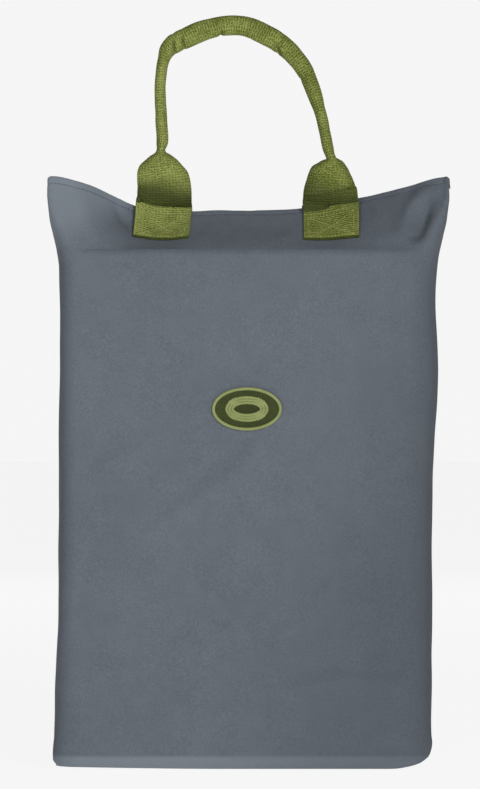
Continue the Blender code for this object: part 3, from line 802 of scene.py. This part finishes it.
# The handles: stations from the left root to the right one, as (x, y, z, left curl, right curl, width, depth). The
# ridge is the webbing's middle, a curl is how far an edge has rolled back round it, and the scales press the rolled
# section out of round.
TUBE = pi * 0.985
HANDLE = (
    (-0.0722, -0.0205, 0.5290, 0.30, 0.40, 1.00, 1.00),
    (-0.0730, -0.0222, 0.5385, 0.40, 0.75, 1.00, 1.00),
    (-0.0738, -0.0228, 0.5450, 0.60, 1.25, 1.00, 1.00),
    (-0.0746, -0.0232, 0.5512, 1.10, 1.70, 1.00, 1.00),
    (-0.0752, -0.0236, 0.5565, 1.90, 2.30, 0.90, 1.05),
    (-0.0754, -0.0240, 0.5612, TUBE, TUBE, 0.58, 1.20),
    (-0.0752, -0.0240, 0.5645, TUBE, TUBE, 0.50, 1.24),
    (-0.0742, -0.0236, 0.5700, TUBE, TUBE, 0.64, 1.18),
    (-0.0750, -0.0233, 0.5850, TUBE, TUBE, 0.67, 1.16),
    (-0.0757, -0.0231, 0.6020, TUBE, TUBE, 0.67, 1.15),
    (-0.0763, -0.0230, 0.6180, TUBE, TUBE, 0.65, 1.15),
    (-0.0752, -0.0229, 0.6340, TUBE, TUBE, 0.64, 1.15),
    (-0.0730, -0.0228, 0.6455, TUBE, TUBE, 0.70, 1.10),
    (-0.0695, -0.0224, 0.6545, TUBE, TUBE, 0.94, 0.98),
    (-0.0630, -0.0220, 0.6603, TUBE, TUBE, 1.12, 0.86),
    (-0.0530, -0.0216, 0.6652, TUBE, TUBE, 1.19, 0.82),
    (-0.0370, -0.0212, 0.6721, TUBE, TUBE, 1.18, 0.80),
    (-0.0223, -0.0211, 0.6759, TUBE, TUBE, 1.14, 0.80),
    (-0.0085, -0.0210, 0.6771, TUBE, TUBE, 1.13, 0.80),
    (0.0040, -0.0210, 0.6754, TUBE, TUBE, 1.13, 0.80),
    (0.0161, -0.0210, 0.6704, TUBE, TUBE, 1.18, 0.80),
    (0.0315, -0.0211, 0.6620, TUBE, TUBE, 1.14, 0.82),
    (0.0429, -0.0214, 0.6525, TUBE, TUBE, 1.07, 0.86),
    (0.0534, -0.0218, 0.6400, TUBE, TUBE, 0.98, 0.92),
    (0.0616, -0.0223, 0.6230, TUBE, TUBE, 0.88, 1.00),
    (0.0668, -0.0227, 0.6085, TUBE, TUBE, 0.79, 1.06),
    (0.0695, -0.0229, 0.5995, TUBE, TUBE, 0.66, 1.12),
    (0.0718, -0.0231, 0.5915, TUBE, TUBE, 0.66, 1.14),
    (0.0746, -0.0234, 0.5780, TUBE, TUBE, 0.64, 1.16),
    (0.0772, -0.0237, 0.5650, TUBE, TUBE, 0.62, 1.18),
    (0.0790, -0.0240, 0.5590, TUBE, TUBE, 0.54, 1.22),
    (0.0804, -0.0240, 0.5552, TUBE, TUBE, 0.52, 1.22),
    (0.0806, -0.0236, 0.5515, 2.10, 2.00, 0.88, 1.05),
    (0.0804, -0.0232, 0.5460, 1.60, 1.35, 1.00, 1.00),
    (0.0798, -0.0228, 0.5390, 1.15, 1.05, 1.00, 1.00),
    (0.0792, -0.0220, 0.5310, 0.72, 0.80, 1.00, 1.00),
    (0.0790, -0.0205, 0.5250, 0.48, 0.50, 1.00, 1.00),
)
# The turn from a sewn end's top out over it and up into the loop, as (y, z)
ROOT_TURN = ((-0.0118, 0.5127), (-0.0160, 0.5168), (-0.0192, 0.5228))
STRAP_ROWS = 520
ACROSS_STRAP = np.linspace(-1, 1, 37)
ROOT_EASE = 0.014
# Creases in the loop, each as a line of (x, z) points, a width and a depth
LOOP_CREASES = (
    (((-0.0650, 0.6720), (-0.0620, 0.6500)), 0.0016, 0.0019),
    (((-0.0566, 0.6730), (-0.0538, 0.6520)), 0.0014, 0.0016),
    (((-0.0185, 0.6790), (-0.0222, 0.6600)), 0.0016, 0.0018),
    (((0.0350, 0.6680), (0.0300, 0.6480)), 0.0016, 0.0016),
    (((0.0085, 0.6700), (0.0060, 0.6640)), 0.0012, 0.0008),
    (((0.0560, 0.6250), (0.0500, 0.6290)), 0.0014, 0.0009),
    (((0.0810, 0.5500), (0.0890, 0.5420), (0.0985, 0.5290)), 0.0050, -0.0026),
    (((0.0765, 0.5460), (0.0830, 0.5340), (0.0880, 0.5240)), 0.0060, 0.0018),
)


def sewn_end(root, part, across=0.0):
    """(x, y, z) on a sewn end, part of the way from its foot to its top and across its width."""
    part, across = np.broadcast_arrays(part, across)
    x = mix(*root, part) + across * WEBBING_WIDTH / 2
    half = side_width(SEWN_END_FOOT, float(root[0] > 0))[0] - BODY_CORNER
    share = x / half * FLAT_SHARE
    climb = np.linspace(0, 1.25, 126)
    heights = collar_spine(np.full(126, mix(*root, 0.5) / half * FLAT_SHARE), climb)[:, 1]
    foot, top = np.interp((SEWN_END_FOOT, SEWN_END_TOP), heights, climb)
    up = mix(foot, top, part)
    here = collar_spine(share, up)
    ahead = unit(collar_spine(share, up + 0.01) - collar_spine(share, up - 0.01))
    off = np.stack((-ahead[..., 1], ahead[..., 0]), axis=-1) * (WEBBING + 0.0006)
    return vectors(x, here[..., 0] + off[..., 0], here[..., 1] + off[..., 1])


def strap_route():
    """The ridge from one sewn end's foot to the other's, with the curls and scales beside it."""
    ends = []
    for root, near in zip(ROOTS, (HANDLE[0], HANDLE[-1])):
        end = [(*place, 0.02, 0.02, 1.0, 1.0) for place in sewn_end(root, np.linspace(0, 1, 9))]
        for k, (y, z) in enumerate(ROOT_TURN):
            part = (k + 1) / (len(ROOT_TURN) + 1)
            end.append((mix(root[1], near[0], part), y, z, 0.02 + 0.2 * part, 0.02 + 0.2 * part, 1.0, 1.0))
        ends.append(end)
    return np.array(ends[0] + list(HANDLE) + ends[1][::-1])


class Strap:
    """The webbing of the front handle, standing: its skin, and the distance along it."""

    def __init__(self):
        route = strap_route()
        step = np.linalg.norm(np.diff(route[:, :3], axis=0), axis=1)
        knots = np.append(0, np.cumsum(step))
        self.length = knots[-1]
        self.sewn = (knots[8], self.length - knots[-9])
        at = np.linspace(0, self.length, STRAP_ROWS + 1)
        fine = np.stack([through(np.stack((knots, route[:, k]), 1), at, loose=k < 3) for k in range(7)], axis=1)
        points = self.rolled(fine)
        for side, root in enumerate(ROOTS):
            across = ACROSS_STRAP * (-1 if side else 1)
            from_foot = self.length - at if side else at
            sewn = self.sewn[side]
            flat = from_foot <= sewn
            top = sewn_end(root, 1.0, across)
            shift = top - points[np.argmin(np.abs(from_foot - sewn))]
            ease = np.where(flat, 0, 1 - smooth((from_foot - sewn) / ROOT_EASE))
            points = points + shift[None] * ease[:, None, None]
            points[flat] = sewn_end(root, (from_foot[flat] / sewn)[:, None], across[None, :])
        self.skin = Skin(points, self.relief)
        self.roots = np.interp((self.sewn[0], self.length - self.sewn[1]), at, self.skin.lengths(0)).tolist()

    def rolled(self, fine):
        """The webbing laid on its ridge and rolled back at its edges."""
        centre = fine[:, :3]
        ahead = unit(np.gradient(centre, axis=0))
        front = np.array((0.0, -1.0, 0.0))
        out = unit(front - ahead * (ahead @ front)[:, None])
        inner = np.cross(ahead, out)
        across = ACROSS_STRAP[None, :]
        curl = np.where(across < 0, fine[:, 3:4], fine[:, 4:5])
        radius = WEBBING_WIDTH / 2 / curl
        wide = radius * np.sin(across * curl) * fine[:, 5:6]
        deep = radius * (1 - np.cos(across * curl)) * fine[:, 6:7]
        return centre[:, None] + inner[:, None] * wide[..., None] - out[:, None] * deep[..., None]

    def relief(self, points):
        loose = smooth((points[..., 2] - 0.530) / 0.03)
        bumps = 0.00055 * rumple(points, 0.011, 5) + 0.0004 * rumple(points, 0.028, 6)
        middle = np.cos(pi / 2 * ACROSS_STRAP) ** 0.5
        creases = sum(-depth * ridge(points, line, width) for line, width, depth in LOOP_CREASES)
        creases = creases * np.where(points[..., 1] < HANDLE_PIVOT.y, 1, 0)
        return (loose * bumps + creases) * middle

    def on(self, side, distance):
        """The share of the way along for a distance up from the left foot, or the right one where side is 1."""
        return (self.length - distance if side else distance) / self.length


def fallen(points):
    """Lays the standing back handle over behind the bag, from its root up."""
    part = smooth((points[..., 2] - 0.5100) / 0.0135)
    angle = -BACK_HANDLE_LEAN * part
    y, z = points[..., 1] + HANDLE_PIVOT.y, points[..., 2] - HANDLE_PIVOT.z
    turned_y = y * np.cos(angle) - z * np.sin(angle)
    turned_z = y * np.sin(angle) + z * np.cos(angle)
    return vectors(points[..., 0], turned_y - HANDLE_PIVOT.y, turned_z + HANDLE_PIVOT.z)


def blend_handle(piece, end):
    """Bakes a strap's placement into its mesh, the same for either handle."""
    if end == "front":
        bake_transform(piece)
    else:
        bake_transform(piece)


# The stitching on a sewn end, as lines from one (place across in metres, share of the way up) to another
BOX_STITCH = (
    ((-0.0205, 0.09), (0.0205, 0.09)),
    ((-0.0205, 0.75), (0.0205, 0.75)),
    ((-0.0205, 0.09), (-0.0205, 0.75)),
    ((0.0205, 0.09), (0.0205, 0.75)),
    ((-0.0205, 0.09), (0.0205, 0.75)),
    ((0.0205, 0.09), (-0.0205, 0.75)),
    ((-0.0205, 0.84), (0.0205, 0.84)),
)


def make_handle(end, strap, looks):
    skin = strap.skin
    if end == "back":
        skin = skin.mirrored()
        skin = Skin(fallen(skin.points))
    piece = skin.piece(f"{end}_handle_strap", looks["webbing"], WEBBING)
    blend_handle(piece, end)
    sewn = [f"{end}_{side}_webbing_end" for side in ("left", "right")]
    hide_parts(f"{end}_handle_webbing", f"{end}_grip_core", *sewn)
    for side, name in enumerate(("left", "right")):
        rows = []
        for (x0, s0), (x1, s1) in BOX_STITCH:
            t = np.linspace(0, 1, 40)
            across = 0.5 + mix(x0, x1, t) / WEBBING_WIDTH
            up = strap.on(side, mix(s0, s1, t) * strap.sewn[side])
            path, normals = skin.at(across, up), skin.normal_at(across, up)
            rows.append(stitches("stitch_row", path, normals, looks["olive_thread"], 0.0031, 0.0007, 0.00033))
        joined = join(rows, f"{end}_{name}_box_stitches")
        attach(joined, f"{end}_collar")
        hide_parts(f"{end}_{name}_box_stitching")
    loop = np.linspace(strap.on(0, strap.sewn[0] + 0.052), strap.on(1, strap.sewn[1] + 0.046), 400)
    edge = np.full_like(loop, 0.035)
    path, normals = skin.at(edge, loop), skin.normal_at(edge, loop)
    seam = stitches(f"{end}_grip_seam_stitches", path, normals, looks["olive_thread"], 0.0034, 0.0008, 0.00033)
    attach(seam, f"{end}_handle")
    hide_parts(f"{end}_grip_stitching")


def join(objects, name):
    """One object from several that share a material."""
    points, faces = [], []
    for obj in objects:
        first = len(points)
        points += [tuple(v.co) for v in obj.data.vertices]
        faces += [[first + i for i in face.vertices] for face in obj.data.polygons]
    mesh = bpy.data.meshes.new(name)
    mesh.from_pydata(points, [], faces)
    mesh.shade_smooth()
    made = add_object(name, mesh, objects[0].data.materials[0])
    for obj in objects:
        bpy.data.objects.remove(obj)
    return made


# The badge


def cord_on_badge(name, line, radius, look, twist):
    """A raised line of thread over the badge's ground, along (x, z) points. twist sets how deep its ply shows."""
    x0, y0, z0 = BADGE_CENTRE
    line = np.array(line)
    step = np.append(0, np.cumsum(np.linalg.norm(np.diff(line, axis=0), axis=1)))
    count = max(24, int(step[-1] / 0.00035))
    at = np.linspace(0, step[-1], count)
    path = np.stack([np.interp(at, step, line[:, k]) for k in range(2)], axis=1)
    ahead = np.gradient(path, axis=0)
    ahead /= np.linalg.norm(ahead, axis=1)[:, None]
    side = np.stack((ahead[:, 1], -ahead[:, 0]), axis=1)
    sides = 10
    turn = 2 * pi * np.arange(sides + 1) / sides
    girth = radius * (1 + twist * np.abs(np.sin(pi * at / 0.0011)))[:, None]
    x = x0 + path[:, 0:1] + side[:, 0:1] * np.cos(turn) * girth
    z = z0 + path[:, 1:2] + side[:, 1:2] * np.cos(turn) * girth
    y = y0 - np.sin(turn) * girth * 0.7 - 0.0006
    return Skin(vectors(x, y, z)[:, ::-1]).piece(name, look, 0)


def ellipse(half_width, half_height):
    angle = np.linspace(0, 2 * pi, 120)
    return np.stack((half_width * np.cos(angle), half_height * np.sin(angle)), axis=1)


COIL_THREAD, TIE_THREAD = 0.00115, 0.00135


def make_badge(looks):
    x0, y0, z0 = BADGE_CENTRE
    ring, out = grid(96, 12, 0, 2 * pi, 0.02, 1)
    points = vectors(
        x0 + np.cos(ring) * out * (BADGE_HALF_WIDTH - BORDER),
        y0 - 0.0003 * (1 - out**4),
        z0 + np.sin(ring) * out * (BADGE_HALF_HEIGHT - BORDER),
    )
    ground = Skin(points[::-1]).piece("badge_ground_cloth", looks["badge"], 0.0006)
    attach(ground, "bag")
    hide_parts("badge_ground")
    rim = ellipse(BADGE_HALF_WIDTH - BORDER, BADGE_HALF_HEIGHT - BORDER)
    border = cord_on_badge("badge_merrowed_border", rim, BORDER, looks["badge_light"], 0.16)
    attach(border, "bag")
    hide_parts("badge_border")
    coil = [ellipse(0.0182 - 0.0026 * k, 0.0104 - 0.0024 * k) for k in range(3)]
    turns = (radians(45 + 90 * quarter + 10 * k) for quarter in range(4) for k in (-1, 0, 1))
    ties = [np.array(((0.0198 * cos(a), 0.0120 * sin(a)), (0.0118 * cos(a), 0.0046 * sin(a)))) for a in turns]
    thread = looks["badge_light"]
    rows = [cord_on_badge("badge_thread", line, COIL_THREAD, thread, 0.22) for line in coil]
    rows += [cord_on_badge("badge_thread", line, TIE_THREAD, thread, 0.22) for line in ties]
    figure = join(rows, "badge_coil_figure")
    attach(figure, "bag")
    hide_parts("badge_figure")


# The stage


FLOOR_RADIUS, DOME_RADIUS = 14.0, 13.9


def make_stage():
    """A white floor that lights the bag from below, and a white dome that only the camera sees."""
    shades = {}
    for name, strength in (("floor", 0.887), ("backdrop", 0.865)):
        look = Look(f"{name}_white", 1.0)
        look.shader.inputs["Base Color"].default_value = (0.10, 0.10, 0.10, 1.0)
        look.shader.inputs["Specular IOR Level"].default_value = 0.0
        look.shader.inputs["Emission Color"].default_value = (1.0, 1.0, 1.0, 1.0)
        look.shader.inputs["Emission Strength"].default_value = strength
        shades[name] = look.material
    turn, out = grid(64, 14, 0, 2 * pi, 0.001, FLOOR_RADIUS)
    floor = Skin(vectors(out * np.cos(turn), out * np.sin(turn), 0.0)).piece("floor", shades["floor"], 0)
    turn, rise = grid(64, 16, 0, 2 * pi, 0, pi / 2 - 0.001)
    dome = DOME_RADIUS * vectors(np.cos(rise) * np.cos(turn), np.cos(rise) * np.sin(turn), np.sin(rise))
    dome = Skin(dome).piece("backdrop", shades["backdrop"], 0)
    dome.visible_diffuse = dome.visible_glossy = dome.visible_shadow = False


def area_light(name, place, target, size, power):
    light = bpy.data.lights.new(name, "AREA")
    light.shape = "RECTANGLE"
    light.size, light.size_y = size
    light.energy = power
    obj = bpy.data.objects.new(name, light)
    obj.location = place
    obj.rotation_euler = (Vector(target) - Vector(place)).to_track_quat("-Z", "Y").to_euler()
    obj.visible_camera = False
    bpy.context.scene.collection.objects.link(obj)


def make_lights():
    middle = (0, 0, 0.34)
    area_light("key", (1.45, -2.9, 1.5), middle, (1.0, 0.5), 56)
    area_light("fill", (-1.25, -2.9, 0.8), middle, (0.9, 0.5), 19)
    area_light("rim", (0.0, 3.0, 1.4), middle, (2.0, 1.0), 16)
    world = bpy.data.worlds.new("studio")
    world.use_nodes = True
    world.node_tree.nodes["Background"].inputs["Color"].default_value = (1, 1, 1, 1)
    world.node_tree.nodes["Background"].inputs["Strength"].default_value = 0.08
    bpy.context.scene.world = world


def make_camera():
    camera = bpy.data.cameras.new("camera")
    camera.sensor_width = 36.0
    distance, view_height = 3.0, 0.713
    camera.lens = camera.sensor_width * distance / view_height
    obj = bpy.data.objects.new("camera", camera)
    obj.location = (-0.0032, FRONT_LOW.y - distance, 0.3395)
    obj.rotation_euler = (pi / 2, 0, 0)
    bpy.context.scene.collection.objects.link(obj)
    bpy.context.scene.camera = obj
    bpy.context.scene.view_settings.view_transform = "Standard"


def make_looks(strap):
    return {
        "cloth": woven_cloth("grey_woven_cloth", (0.100, 0.118, 0.140), (0.150, 0.172, 0.198)),
        "webbing": webbing_weave("olive_ribbed_webbing", (0.095, 0.118, 0.012), (0.375, 0.415, 0.118), strap),
        "tape": woven_cloth("binding_tape_weave", (0.045, 0.052, 0.064), (0.080, 0.092, 0.110), 0.0009),
        "thread": twisted_thread("grey_thread", (0.040, 0.048, 0.060), (0.075, 0.088, 0.105)),
        "olive_thread": twisted_thread("olive_thread", (0.250, 0.290, 0.085), (0.420, 0.460, 0.180)),
        "badge": woven_cloth("badge_twill", (0.030, 0.040, 0.010), (0.060, 0.075, 0.022), 0.0006),
        "badge_light": twisted_thread("badge_light_thread", (0.190, 0.225, 0.070), (0.330, 0.370, 0.150)),
        "board": moulded_sheet("black_plastic_sheet", (0.012, 0.012, 0.013), (0.035, 0.035, 0.037)),
    }


def main():
    make_camera()
    strap = Strap()
    looks = make_looks(strap)
    make_cloth(looks)
    make_base(looks)
    make_bindings(looks)
    for end in ("front", "back"):
        make_handle(end, strap, looks)
    make_badge(looks)
    make_stage()
    make_lights()
    for name, node in frame["nodes"].items():
        if name.endswith("stiffener_board"):
            node.data.materials.clear()
            node.data.materials.append(looks["board"])


main()
